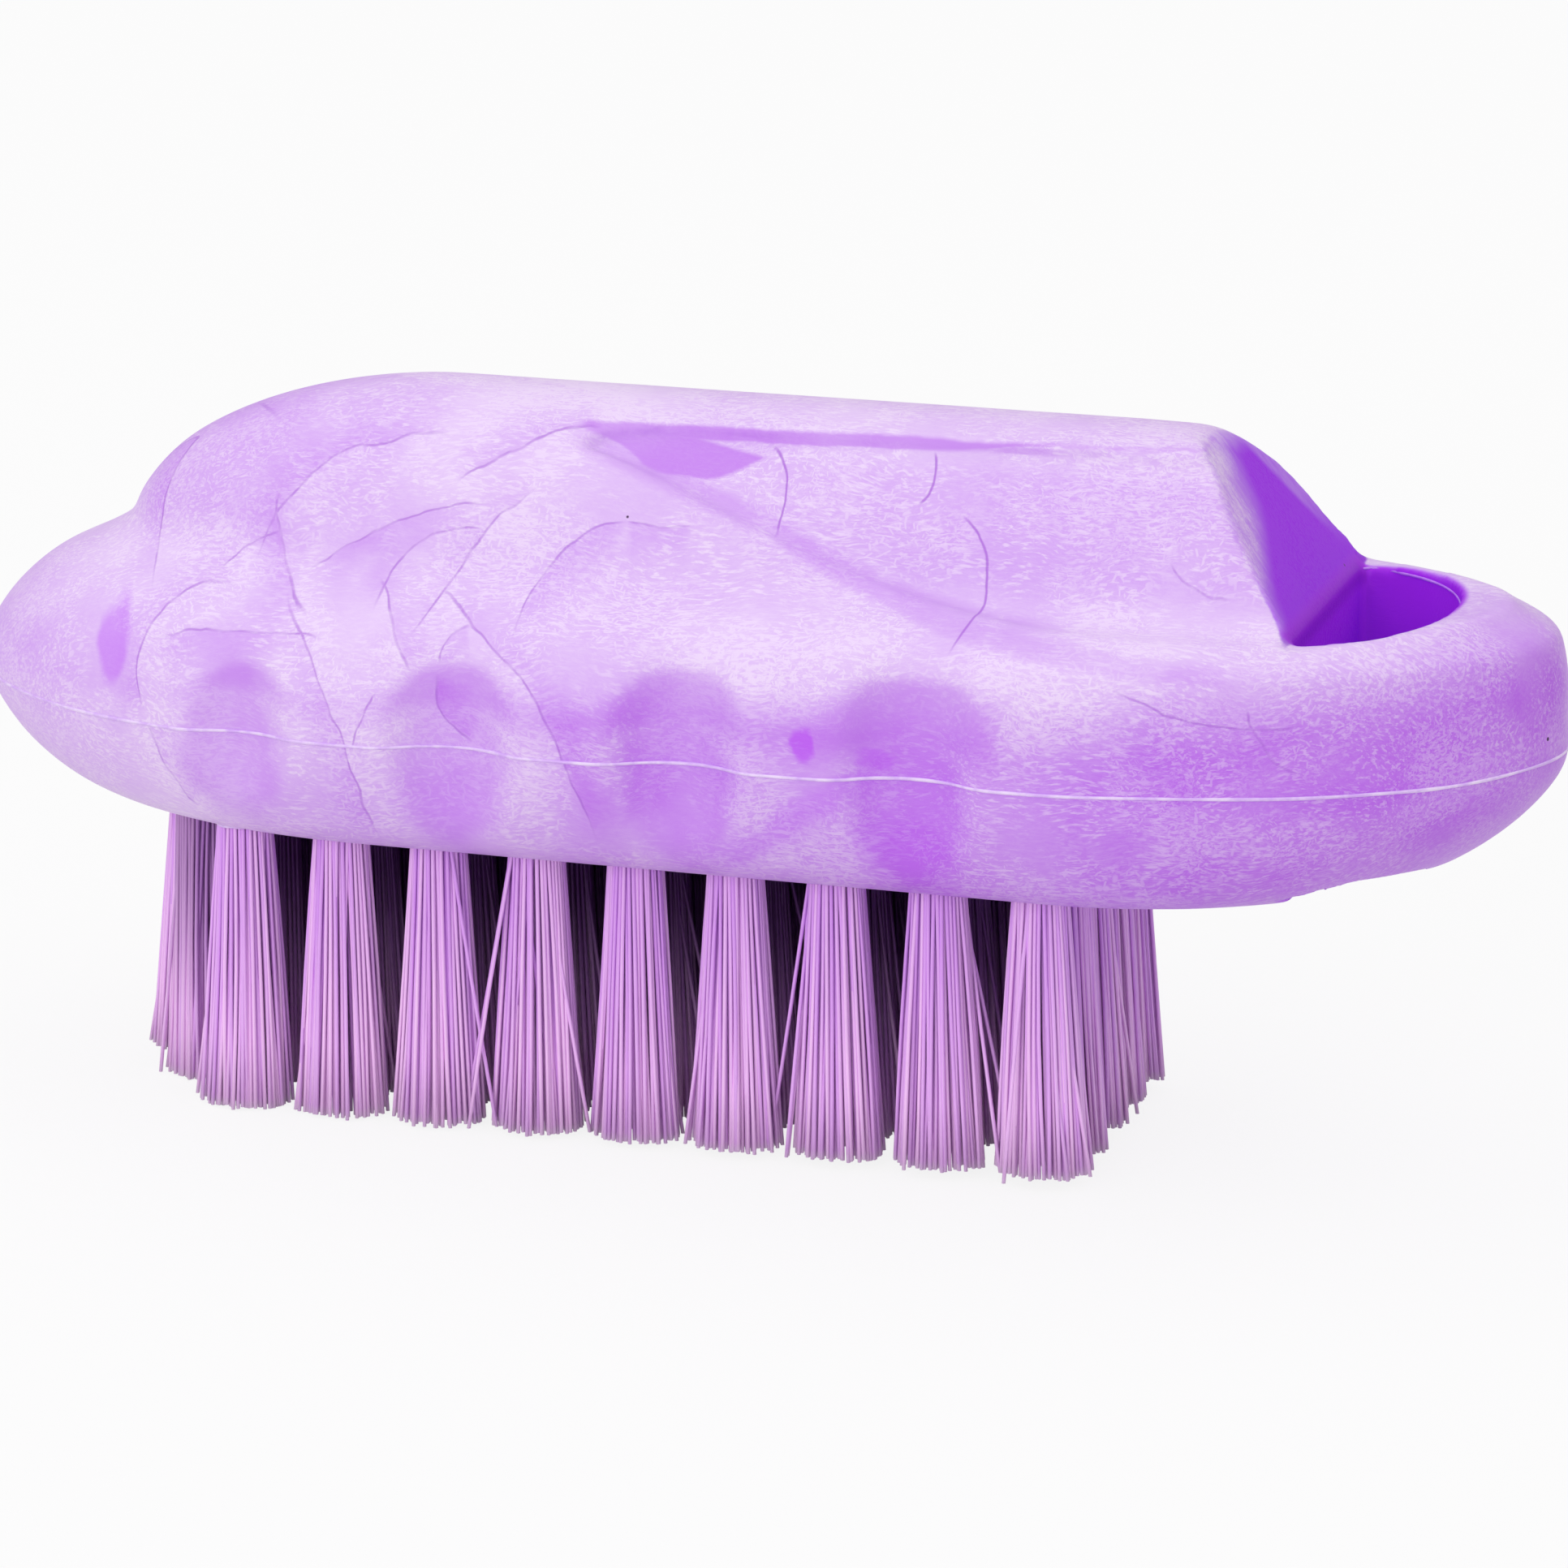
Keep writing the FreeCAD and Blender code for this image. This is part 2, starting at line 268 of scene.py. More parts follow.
# Painted shade on the tops and floors of the finger hollows, which are also smoother, with fewer flecks
hollow_first = -31.1
hollow_pitch = 15.7
hollow_count = 4
hollow_middle = 7.1
hollow_half_length = 4.8
hollow_half_height = 7.5
hollow_strength = 0.62
hollow_rise = (9.2, 12.1)
hollow_end = (23.0, 21.0)
hollow_fade = (-34.0, 22.0, 1.0, 0.7)
# Painted shade where the surface faces sideways or down, by how far it faces up
hollow_facing = (0.36, 0.02)
hollow_warp = (2.5, 1.0)

# Painted shade in a smooth dark wedge at the thumb recess's nose and along its upper edge, and the pale
# streak in it
recess_nose = -11.0
recess_top = 28.25
recess_climb = 0.012
nose_start = (recess_nose, recess_nose + 1.5)
wedge_width = (recess_nose, -3.0, 0.3, 2.9)
wedge_thinning = (-1.0, 4.5, 0.0, 1.8)
wedge_ending = (8.0, 24.0, 0.0, 1.1)
wedge_lower_edge = (0.2, -0.2)
wedge_upper_edge = (-0.2, 0.1)
wedge_warp = (3.0, 0.22)
streak_width = (-4.5, 4.0, 0.5, 1.7)
streak_upper_edge = (0.7, 0.9)
streak_lower_edge = (0.15, -0.15, 0.0, 0.8)

# The smooth lip below the thumb recess, with painted shade along its concave edge: start, middle and end of
# its stretches
recess_lips = [
    ((-10.5, 27.4), (-3.5, 25.4), (4.5, 22.8)),
    ((3.5, 23.3), (12.0, 19.9), (22.0, 18.1)),
    ((20.0, 18.3), (28.0, 17.5), (37.0, 16.9)),
]
lip_width = 0.9
# Painted shade along the lip
lip_strength = 0.55

# What the smooth patches take off the pearl, as painted shade in the hollows, the recess and along its lip,
# and off the flecks
smooth_patch_painted_shade = 0.44
# The recess's wedge takes more painted shade
wedge_painted_shade = 0.08
smooth_fleck_loss = 0.85

# Pale flecks: drawn-out grain in three directions and thin flakes at two spacings, each with the
# channel of the patches that makes it stronger or fainter. A flake's thickness and length are
# shares of the spacing.
grain_turns = [(0.15, 0), (0.65, 1), (-0.4, 2)]
grain_tilt = 0.4
grain_roll_share = 0.5
grain_stretch = (1.1, 4.6, 4.6)
grain_noise = (1.0, 2.5, 0.6, 0.3)
grain_span = (0.47, 0.68)
grain_strength = (0.42, 0.58, 0.2, 1.0)
flake_spacings = [(0.36, 0), (0.56, 1)]
flake_thickness = (0.17, 0.06)
flake_length = (0.65, 0.4)
flake_strength = (0.44, 0.60, 0.08, 0.75)
fleck_flow = (9.0, 1.6)
fleck_patches = (8.0, 2.0)
fleck_gain = (-22.0, 12.0, 0.38, 0.41)
fleck_middle = 0.28

# Hanging hole, where the bare violet shows
hole_wall = 39.4
hole_reach = 8.8
hole_half_width = 10.8
hole_edge = (1.12, 1.0)
hole_start = (hole_wall - 0.9, hole_wall - 0.2)

# Slanted end face and the flat wall below it, where it shows too
slant_low = 17.6
slant_half_width = 10.8
slant_taper = 0.72
slant_foot = 19.6
slant_facing = (0.32, 0.58)
slant_start = (30.5, 31.5)
slant_end = (hole_wall + 1.0, hole_wall + 0.4)
slant_rise = (slant_low - 2.6, slant_low - 1.6)
# Painted light on the flat wall, growing toward its top
wall_light_rise = (slant_low - 7.0, slant_low - 0.5)
# Painted shade along the crease at the top of the flat wall
crease_level = slant_low + 0.2
crease_strength = (1.4, 0.3, 0.0, 0.5)
crease_start = (hole_wall - 2.0, hole_wall - 0.8)

# Pearl on the slanted face, partly a painted highlight on its rounded edges: along its far rim and its near
# edge, and at its top
far_rim = (1.3, 0.2, 0.0, 0.3)
far_rim_rise = (19.0, 24.0)
near_edge = (3.2, -3.0)
near_edge_rise = (19.6, 24.6, 0.0, 5.0)
slant_top = (26.8, 29.6)
brushed_stretch = (0.5, 1.5, 0.5)
brushed_noise = (1.0, 3.0, 0.6)
brushed_strength = (0.34, 0.64, 0.72, 1.06)

# Specks: spacing, edge and core of a dot as shares of it, and which of them show
speck_spacing = 5.0
speck_dot = (0.034, 0.022)
speck_chosen = (0.74, 0.76)

# The middle part of a noise, where most of its values lie
noise_middle = (0.3, 0.7)

# Thin moulded edges: the witness line and burrs, and the line in the hole
witness_dark = (0.68, 0.42, 0.92, 1)
witness_pale = (0.86, 0.72, 0.97, 1)
rim_line_dark = (0.46, 0.12, 0.82, 1)
rim_line_pale = (0.62, 0.30, 0.92, 1)
edge_noise = (1.4, 3.0, 0.6)
edge_roughness = (0.36, 0.5)
edge_bump = 0.2
edge_bump_depth = 0.05 * mm

# Filaments: colours, tones along them and surface
filament_mauve = (0.68, 0.28, 0.92, 1)
filament_pink = (0.98, 0.62, 1.0, 1)
# Painted shade: the dark colour of the inner tufts toward their roots
filament_painted_shade = (0.07, 0.008, 0.12, 1)
filament_cut = (0.90, 0.72, 0.92, 1)
tone_share = 0.6
streak_share = 0.3
# Painted light: filaments grow paler toward their tips
tip_painted_light = (0.2, 1.0, 0.05, 0.40)
# Where the painted shade of the inner tufts lies along the filaments
root_painted_shade = (1.0, 0.3, 0.0, 0.94)
cut_end = (0.97, 1.0, 0.0, 0.6)
filament_stretch = (6, 6, 0.35)
filament_roughness = (0.26, 0.40)
filament_gloss = 0.2
filament_bump = 0.1
filament_bump_depth = 0.02 * mm

# Wire of the anchors
wire_dark = (0.42, 0.41, 0.39, 1)
wire_pale = (0.70, 0.69, 0.66, 1)
wire_stretch = (0.6, 9, 9)
wire_noise = (1.0, 3.0)
wire_roughness = (0.25, 0.42)


def new_object(name, data):
    """A new object, linked into the scene."""
    made = bpy.data.objects.new(name, data)
    bpy.context.scene.collection.objects.link(made)
    return made


def new_piece(name, mesh, material):
    """A named piece that rides on the brush, with the given material."""
    piece = new_object(name, mesh)
    mesh.materials.clear()
    mesh.materials.append(material)
    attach(piece, "root")
    return piece


class Paint:
    """One node material, put together step by step."""

    def __init__(self, name):
        self.material = bpy.data.materials.new(name)
        self.material.use_nodes = True
        self.tree = self.material.node_tree
        self.shader = self.tree.nodes["Principled BSDF"]

    def feed(self, socket, value):
        """Links another node's output to a socket, or sets a plain value on it."""
        if isinstance(value, bpy.types.NodeSocket):
            self.tree.links.new(value, socket)
        else:
            socket.default_value = value

    def set_input(self, name, value):
        """Feeds one of the shader's own inputs."""
        self.feed(self.shader.inputs[name], value)

    def add(self, kind, inputs, **settings):
        """A new node with its settings made and its inputs fed."""
        node = self.tree.nodes.new(kind)
        for key, value in settings.items():
            setattr(node, key, value)
        for key, value in inputs.items():
            self.feed(node.inputs[key], value)
        return node

    def math(self, operation, first, second=0.0, clamp=False):
        inputs = {0: first, 1: second}
        return self.add("ShaderNodeMath", inputs, operation=operation, use_clamp=clamp).outputs[0]

    def plus(self, first, second, clamp=False):
        return self.math("ADD", first, second, clamp)

    def minus(self, first, second, clamp=False):
        return self.math("SUBTRACT", first, second, clamp)

    def times(self, first, second, clamp=False):
        return self.math("MULTIPLY", first, second, clamp)

    def most(self, first, second):
        return self.math("MAXIMUM", first, second)

    def vector_node(self, operation, first, second):
        return self.add("ShaderNodeVectorMath", {0: first, 1: second}, operation=operation)

    def vector(self, operation, first, second=(0, 0, 0)):
        return self.vector_node(operation, first, second).outputs["Vector"]

    def measure(self, operation, first, second=(0, 0, 0)):
        return self.vector_node(operation, first, second).outputs["Value"]

    def scale(self, vector, factor):
        inputs = {0: vector, "Scale": factor}
        return self.add("ShaderNodeVectorMath", inputs, operation="SCALE").outputs["Vector"]

    def split(self, vector):
        return self.add("ShaderNodeSeparateXYZ", {0: vector}).outputs

    def join(self, x, y, z):
        return self.add("ShaderNodeCombineXYZ", {0: x, 1: y, 2: z}).outputs[0]

    def span(self, value, low, high, start=0.0, end=1.0):
        """Eases from start to end while the value goes from low to high."""
        inputs = {0: value, 1: low, 2: high, 3: start, 4: end}
        return self.add("ShaderNodeMapRange", inputs, interpolation_type="SMOOTHSTEP").outputs[0]

    def noise(self, vector, size, detail=2.0, roughness=0.5, distortion=0.0):
        """Noise with features of the given size, in the unit of the vector."""
        inputs = {
            "Vector": vector,
            "Scale": 1.0 / size,
            "Detail": detail,
            "Roughness": roughness,
            "Distortion": distortion,
        }
        return self.add("ShaderNodeTexNoise", inputs).outputs

    def cells(self, vector, spacing):
        """Cells scattered at about the given spacing."""
        return self.add("ShaderNodeTexVoronoi", {"Vector": vector, "Scale": 1 / spacing}).outputs

    def mix(self, share, first, second):
        node = self.add("ShaderNodeMix", {0: share, 6: first, 7: second}, data_type="RGBA")
        return node.outputs[2]

    def attribute(self, name):
        return self.add("ShaderNodeAttribute", {}, attribute_name=name).outputs["Fac"]

    def facing(self):
        """The parts along X, Y and Z of the direction that the surface faces."""
        return self.split(self.add("ShaderNodeNewGeometry", {}).outputs["Normal"])

    def place(self):
        """The point on the object in millimetres, its height measured from the body's underside."""
        point = self.add("ShaderNodeTexCoord", {}).outputs["Object"]
        return self.scale(self.vector("SUBTRACT", point, (0, 0, underside)), 1 / mm)

    def warp(self, vector, size, reach):
        """The vector, pushed about by up to the reach in swirls of the given size."""
        swirl = self.vector("SUBTRACT", self.noise(vector, size)["Color"], (0.5, 0.5, 0.5))
        return self.vector("ADD", vector, self.scale(swirl, reach * 2))

    def bump(self, height, strength, distance):
        inputs = {"Height": height, "Strength": strength, "Distance": distance}
        self.set_input("Normal", self.add("ShaderNodeBump", inputs).outputs[0])


def circle_through(start, middle, end):
    """Centre, radius, direction of the middle and half angle of the arc through three points."""
    first, second, third = Vector(start), Vector(middle), Vector(end)
    before, after = (first + second) / 2, (second + third) / 2
    run_before = (second - first).orthogonal() * bisector_reach
    run_after = (third - second).orthogonal() * bisector_reach
    centre = geometry.intersect_line_line_2d(
        before - run_before, before + run_before, after - run_after, after + run_after)
    toward = (second - centre).normalized()
    reach = max(toward.angle(first - centre), toward.angle(third - centre))
    return centre, (second - centre).length, toward, reach


def arc_line(paint, place, start, middle, end, width):
    """How far outside an arc a point lies, how much it is beside the arc, and a thin line along the arc."""
    centre, radius, toward, reach = circle_through(start, middle, end)
    away = paint.vector("SUBTRACT", place, (centre.x, 0, centre.y))
    gap = paint.minus(paint.measure("LENGTH", away), radius)
    heading = paint.vector("NORMALIZE", away)
    along = paint.measure("DOT_PRODUCT", heading, (toward.x, 0, toward.y))
    present = paint.span(along, math.cos(reach * arc_end_share), math.cos(reach * arc_full_share))
    line = paint.span(paint.math("ABSOLUTE", gap), width, width * line_core_share)
    return gap, present, paint.times(line, present)


def arc_lines(paint, place, arcs, width):
    """Thin lines along several arcs."""
    lines = 0.0
    for start, middle, end in arcs:
        gap, present, line = arc_line(paint, place, start, middle, end, width)
        lines = paint.most(lines, line)
    return lines


def flow_front_marks(paint, place):
    """The veins of all flow fronts, and the soft shade along one side of each."""
    lines = 0.0
    shades = 0.0
    for start, middle, end, side in flow_fronts:
        gap, present, line = arc_line(paint, place, start, middle, end, vein_width)
        lines = paint.most(lines, line)
        if not side:
            continue
        beside = paint.times(gap, side)
        rise = paint.span(beside, *front_shade_rise)
        fall = paint.span(beside, *front_shade_fall)
        shade = paint.times(paint.times(rise, fall), present)
        shades = paint.most(shades, shade)
    return lines, shades


def oval_mark(paint, place, middle, half_length, half_height):
    """A soft oval patch on the flank."""
    away = paint.vector("SUBTRACT", place, (middle[0], 0, middle[1]))
    even = paint.vector("MULTIPLY", away, (1 / half_length, 0, 1 / half_height))
    return paint.span(paint.measure("LENGTH", even), 1.0, oval_core_share)


def smudge_marks(paint, place):
    """The saturated violet smudges and the streak below them."""
    streak = arc_lines(paint, place, [smudge_streak], smudge_streak_width)
    marks = paint.times(streak, smudge_streak_strength)
    for middle, half_length, half_height, strength in smudges:
        mark = oval_mark(paint, place, middle, half_length, half_height)
        marks = paint.most(marks, paint.times(mark, strength))
    return marks


def hollow_smooth_and_shade_marks(paint, place):
    """Painted shade on the smooth tops and floors of the finger hollows, the tops where the surface faces
    sideways or down.
    """
    x, y, z = paint.split(place)
    # Painted shade where the surface faces sideways or down
    upright = paint.span(paint.facing()[2], *hollow_facing)
    marks = paint.times(upright, paint.span(z, *hollow_rise))
    marks = paint.times(marks, paint.span(x, *hollow_end))
    marks = paint.times(marks, paint.span(x, *hollow_fade))
    ragged = paint.warp(place, *hollow_warp)
    for number in range(hollow_count):
        middle = (hollow_first + hollow_pitch * number, hollow_middle)
        floor = oval_mark(paint, ragged, middle, hollow_half_length, hollow_half_height)
        marks = paint.most(marks, paint.times(floor, hollow_strength))
    return marks


def recess_shade_marks(paint, place):
    """Painted shade in the smooth dark wedge at the thumb recess's nose, with a pale streak inside it."""
    x, y, z = paint.split(place)
    edge = paint.plus(paint.times(x, recess_climb), recess_top)
    below = paint.minus(edge, z)
    width = paint.minus(paint.span(x, *wedge_width), paint.span(x, *wedge_thinning))
    width = paint.minus(width, paint.span(x, *wedge_ending))
    depth = paint.minus(below, width)
    marks = paint.times(paint.span(depth, *wedge_lower_edge), paint.span(below, *wedge_upper_edge))
    opening = paint.minus(below, paint.span(x, *streak_width))
    streak = paint.times(paint.span(below, *streak_upper_edge), paint.span(opening, *streak_lower_edge))
    marks = paint.times(marks, paint.minus(1.0, streak))
    return paint.times(marks, paint.span(x, *nose_start))


def lip_shade_marks(paint, place):
    """Painted shade along the smooth lip at the lower edge of the thumb recess."""
    x, y, z = paint.split(place)
    flat = paint.join(x, 0.0, z)
    return paint.times(arc_lines(paint, flat, recess_lips, lip_width), lip_strength)


def smooth_and_shade_marks(paint, place, near):
    """The recess's wedge alone, and all smooth patches together: painted shade in the hollows, the recess
    and along its lip.
    """
    wedge = paint.times(recess_shade_marks(paint, paint.warp(place, *wedge_warp)), near)
    lip = paint.times(lip_shade_marks(paint, place), near)
    return wedge, paint.most(hollow_smooth_and_shade_marks(paint, place), paint.most(wedge, lip))


def drawn_grain(paint, place, turn):
    """Fine grain drawn out along one direction."""
    rotation = (grain_tilt, turn, turn * grain_roll_share)
    inputs = {"Vector": place, "Rotation": rotation, "Scale": grain_stretch}
    drawn = paint.add("ShaderNodeMapping", inputs).outputs[0]
    return paint.span(paint.noise(drawn, *grain_noise)["Fac"], *grain_span)


def flakes(paint, place, spacing):
    """Short fine lines where thin flakes, lying every way, meet the surface."""
    cells = paint.cells(place, spacing)
    away = paint.vector("SUBTRACT", place, cells["Position"])
    lie = paint.vector("NORMALIZE", paint.vector("SUBTRACT", cells["Color"], (0.5, 0.5, 0.5)))
    off = paint.math("ABSOLUTE", paint.measure("DOT_PRODUCT", away, lie))
    thin = paint.span(off, *[spacing * share for share in flake_thickness])
    close = paint.span(paint.measure("LENGTH", away), *[spacing * share for share in flake_length])
    return paint.times(thin, close)


def pearl_flecks(paint, place):
    """Pale flakes and drawn-out grain, denser in some patches than in others."""
    flow = paint.warp(place, *fleck_flow)
    patches = paint.split(paint.noise(place, *fleck_patches)["Color"])
    total = 0.0
    for turn, channel in grain_turns:
        strength = paint.span(patches[channel], *grain_strength)
        total = paint.most(total, paint.times(drawn_grain(paint, flow, turn), strength))
    for spacing, channel in flake_spacings:
        strength = paint.span(patches[channel], *flake_strength)
        total = paint.most(total, paint.times(flakes(paint, flow, spacing), strength))
    return total


def hole_marks(paint, place):
    """The wall of the hanging hole."""
    x, y, z = paint.split(place)
    across = paint.math("POWER", paint.math("DIVIDE", y, hole_half_width), 2)
    forward = paint.math("DIVIDE", paint.minus(x, hole_wall), hole_reach)
    inside = paint.span(paint.plus(across, paint.math("POWER", forward, 2)), *hole_edge)
    return paint.times(inside, paint.span(x, *hole_start))


def slant_pearl_and_highlight(paint, place):
    """The pearl brushed over the far rim, the near edge and the top of the slanted end face, partly a
    painted highlight on these rounded edges.
    """
    x, y, z = paint.split(place)
    narrowing = paint.times(paint.minus(z, slant_foot), slant_taper)
    edge = paint.minus(slant_half_width, narrowing)
    to_far = paint.minus(edge, y)
    to_near = paint.plus(edge, y)
    rim = paint.times(paint.span(to_far, *far_rim), paint.span(z, *far_rim_rise))
    wedge = paint.minus(to_near, paint.span(z, *near_edge_rise))
    pearl = paint.most(paint.span(wedge, *near_edge), paint.span(z, *slant_top))
    pearl = paint.most(rim, pearl)
    brushed = paint.noise(paint.vector("MULTIPLY", place, brushed_stretch), *brushed_noise)["Fac"]
    return paint.times(pearl, paint.span(brushed, *brushed_strength), True)


def slant_marks(paint, place, facing):
    """The slanted end face, apart from the pearl and painted highlight on it."""
    x, y, z = paint.split(place)
    marks = paint.times(facing, paint.span(x, *slant_start))
    marks = paint.times(marks, paint.span(x, *slant_end))
    marks = paint.times(marks, paint.span(z, *slant_rise))
    return paint.times(marks, paint.minus(1.0, slant_pearl_and_highlight(paint, place)))


def crease_shade_marks(paint, place, facing):
    """Painted shade along the crease between the slanted end face and the flat wall of the hole."""
    x, y, z = paint.split(place)
    level = paint.math("ABSOLUTE", paint.minus(z, crease_level))
    marks = paint.times(facing, paint.span(level, *crease_strength))
    marks = paint.times(marks, paint.span(x, *crease_start))
    return paint.times(marks, paint.span(x, *slant_end))


def bare_colour(paint, place, colour):
    """The colour, with plain violet plastic in the hole, on the slanted face and on the flat wall, painted
    light toward the top of the flat wall and painted shade along the crease at its top.
    """
    x, y, z = paint.split(place)
    facing = paint.span(paint.facing()[0], *slant_facing)
    # Painted light: the flat wall grows lighter toward its top
    wall = paint.times(facing, paint.span(z, *wall_light_rise))
    colour = paint.mix(slant_marks(paint, place, facing), colour, bare_violet)
    colour = paint.mix(hole_marks(paint, place), colour, paint.mix(wall, hole_violet, wall_painted_light_violet))
    # Painted shade along the crease
    return paint.mix(crease_shade_marks(paint, place, facing), colour, crease_shade_violet)


def specks(paint, place):
    """A few tiny dark specks in the plastic."""
    cells = paint.cells(place, speck_spacing)
    dot = paint.span(cells["Distance"], *speck_dot)
    chosen = paint.span(paint.split(cells["Color"])[0], *speck_chosen)
    return paint.times(dot, chosen)


def pearl_share(paint, place, near):
    """How pearly the plastic is, before the flecks and marks, with painted shade on the thumb recess's
    floor.
    """
    x, y, z = paint.split(place)
    low = paint.span(x, *pearl_along)
    lift = paint.plus(paint.span(x, *loop_lift), paint.span(x, *end_lift))
    rise = paint.span(paint.minus(z, lift), *pearl_rise)
    share = paint.plus(low, paint.times(rise, paint.minus(pearl_top, low)))
    # Painted shade on the thumb recess's floor
    floor = paint.times(paint.span(x, *recess_floor_along), paint.span(z, *recess_floor_rise))
    floor = paint.times(paint.times(floor, paint.span(z, *recess_floor_top)), near)
    share = paint.minus(share, paint.times(floor, recess_floor_painted_shade))
    dome = paint.times(paint.span(x, *dome_along), paint.span(z, *dome_rise))
    share = paint.minus(share, paint.times(dome, dome_shade))
    share = paint.minus(share, paint.span(x, *left_end_shade))
    swirl = paint.noise(paint.warp(place, *swirl_warp), *swirl_noise)["Fac"]
    return paint.plus(share, paint.span(swirl, *swirl_share))


def flank_place(paint, place):
    """The place seen from the side, a little warped, shifted along the brush on the far side."""
    x, y, z = paint.split(place)
    shift = paint.span(y, *far_shift)
    flank = paint.join(paint.plus(x, shift), 0.0, z)
    for size, reach in flank_warps:
        flank = paint.warp(flank, size, reach)
    return flank


def body_paint():
    """Marbled, pearly violet plastic with flow fronts, flecks and smudges."""
    paint = Paint("marbled_violet_plastic")
    place = paint.place()
    x, y, z = paint.split(place)
    near = paint.span(y, *near_side)
    flank = flank_place(paint, place)
    wedge, smooth = smooth_and_shade_marks(paint, place, near)
    lines, shades = flow_front_marks(paint, flank)
    cracks = arc_lines(paint, flank, weld_cracks, crack_width)
    flecks = pearl_flecks(paint, place)

    kept = paint.minus(1.0, paint.times(smooth, smooth_fleck_loss))
    gain = paint.times(paint.span(x, *fleck_gain), kept)
    share = pearl_share(paint, place, near)
    share = paint.plus(share, paint.times(paint.minus(flecks, fleck_middle), gain))
    # Painted shade of the smooth patches and the recess's wedge
    share = paint.minus(share, paint.times(smooth, smooth_patch_painted_shade))
    share = paint.minus(share, paint.times(wedge, wedge_painted_shade))
    share = paint.minus(share, paint.times(shades, front_shade), True)

    colour = paint.mix(share, deep_violet, pearl_lilac)
    colour = bare_colour(paint, place, colour)
    ragged = paint.warp(flank, *smudge_warp)
    colour = paint.mix(smudge_marks(paint, ragged), colour, smudge_violet)
    broken = paint.span(paint.noise(place, vein_patch)["Fac"], *vein_strength)
    colour = paint.mix(paint.times(lines, broken), colour, vein_violet)
    colour = paint.mix(paint.times(cracks, crack_strength), colour, vein_violet)
    colour = paint.mix(specks(paint, place), colour, speck_black)

    paint.set_input("Base Color", colour)
    paint.set_input("Roughness", paint.span(flecks, *body_roughness))
    paint.set_input("Specular IOR Level", body_gloss)
    grooves = paint.times(paint.most(lines, cracks), -1.0)
    height = paint.plus(paint.times(flecks, fleck_height), grooves)
    paint.bump(height, body_bump, body_bump_depth)
    return paint.material


def edge_paint(name, dark, pale):
    """The plastic of a thin moulded edge, between two tones."""
    paint = Paint(name)
    grain = paint.noise(paint.place(), *edge_noise)["Fac"]
    colour = paint.mix(paint.span(grain, *noise_middle), dark, pale)
    paint.set_input("Base Color", colour)
    paint.set_input("Roughness", paint.span(grain, *noise_middle, *edge_roughness))
    paint.bump(grain, edge_bump, edge_bump_depth)
    return paint.material


def filament_paint():
    """Glossy mauve filaments, each of its own tone, paler toward the tips as painted light, darker inside
    the field toward the roots as painted shade, and paler at the cut end.
    """
    paint = Paint("mauve_filament")
    tone = paint.attribute("tone")
    along = paint.attribute("along")
    depth = paint.attribute("depth")
    streak = paint.noise(paint.vector("MULTIPLY", paint.place(), filament_stretch), 1.0)["Fac"]
    share = paint.plus(paint.times(tone, tone_share), paint.times(streak, streak_share))
    # Painted light toward the tips
    share = paint.plus(share, paint.span(along, *tip_painted_light), True)
    colour = paint.mix(share, filament_mauve, filament_pink)
    # Painted shade on the inner tufts toward their roots
    painted_shade = paint.times(depth, paint.span(along, *root_painted_shade))
    colour = paint.mix(painted_shade, colour, filament_painted_shade)
    colour = paint.mix(paint.span(along, *cut_end), colour, filament_cut)
    paint.set_input("Base Color", colour)
    paint.set_input("Roughness", paint.span(streak, *noise_middle, *filament_roughness))
    paint.set_input("Specular IOR Level", filament_gloss)
    paint.bump(streak, filament_bump, filament_bump_depth)
    return paint.material


def wire_paint():
    """Drawn flat wire of the anchors."""
    paint = Paint("drawn_wire")
    drawn = paint.vector("MULTIPLY", paint.place(), wire_stretch)
    grain = paint.noise(drawn, *wire_noise)["Fac"]
    paint.set_input("Base Color", paint.mix(grain, wire_dark, wire_pale))
    paint.set_input("Roughness", paint.span(grain, *noise_middle, *wire_roughness))
    paint.set_input("Metallic", 1.0)
    return paint.material


def evaluated(carrier):
    """A new mesh of an object with its modifiers applied."""
    shown = carrier.evaluated_get(bpy.context.evaluated_depsgraph_get())
    return bpy.data.meshes.new_from_object(shown)


def ease(value, low, high):
    """Goes from 0 to 1 while the value goes from low to high."""
    return min(max((value - low) / (high - low), 0.0), 1.0)


def past(value, edge, blend):
    """Goes from 0 to 1 over the blend beyond an edge, or below the edge if the blend is negative."""
    return ease(value, edge, edge + blend)


def rounding_share(point):
    """How rounded a point is, by the slant's top, the hole's lower mouth and the recess's lip."""
    slant = past(point.x, round_start, long_blend) * past(point.x, round_end, -long_blend)
    slant *= past(point.y, round_near, short_blend) * past(point.z, round_low, long_blend)
    slant *= max(lower_rounding_share, past(point.z, round_high, long_blend))
    mouth = past(point.x, hole_mouth_start, long_blend)
    mouth *= past(point.z, hole_mouth_top, -short_blend) * mouth_rounding_share
    lip = past(point.x, lip_start, long_blend) * past(point.x, lip_end, -long_blend)
    lip *= past(point.z, lip_low, lip_blend) * past(point.z, lip_high, -lip_blend)
    return max(slant, mouth, lip * lip_rounding_share)


def welded_body():
    """A copy of the body's CAD mesh with its doubled points joined."""
    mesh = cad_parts["brush_body"].data.copy()
    mesh.name = "body_skin"
    shell = bmesh.new()
    shell.from_mesh(mesh)
    bmesh.ops.remove_doubles(shell, verts=shell.verts, dist=weld_distance)
    shell.to_mesh(mesh)
    shell.free()
    return mesh


def add_smoothing(carrier, rounds):
    """A smoothing modifier with the given number of rounds."""
    smoothing = carrier.modifiers.new("smoothing", "SMOOTH")
    smoothing.factor = smoothing_factor
    smoothing.iterations = rounds
    return smoothing


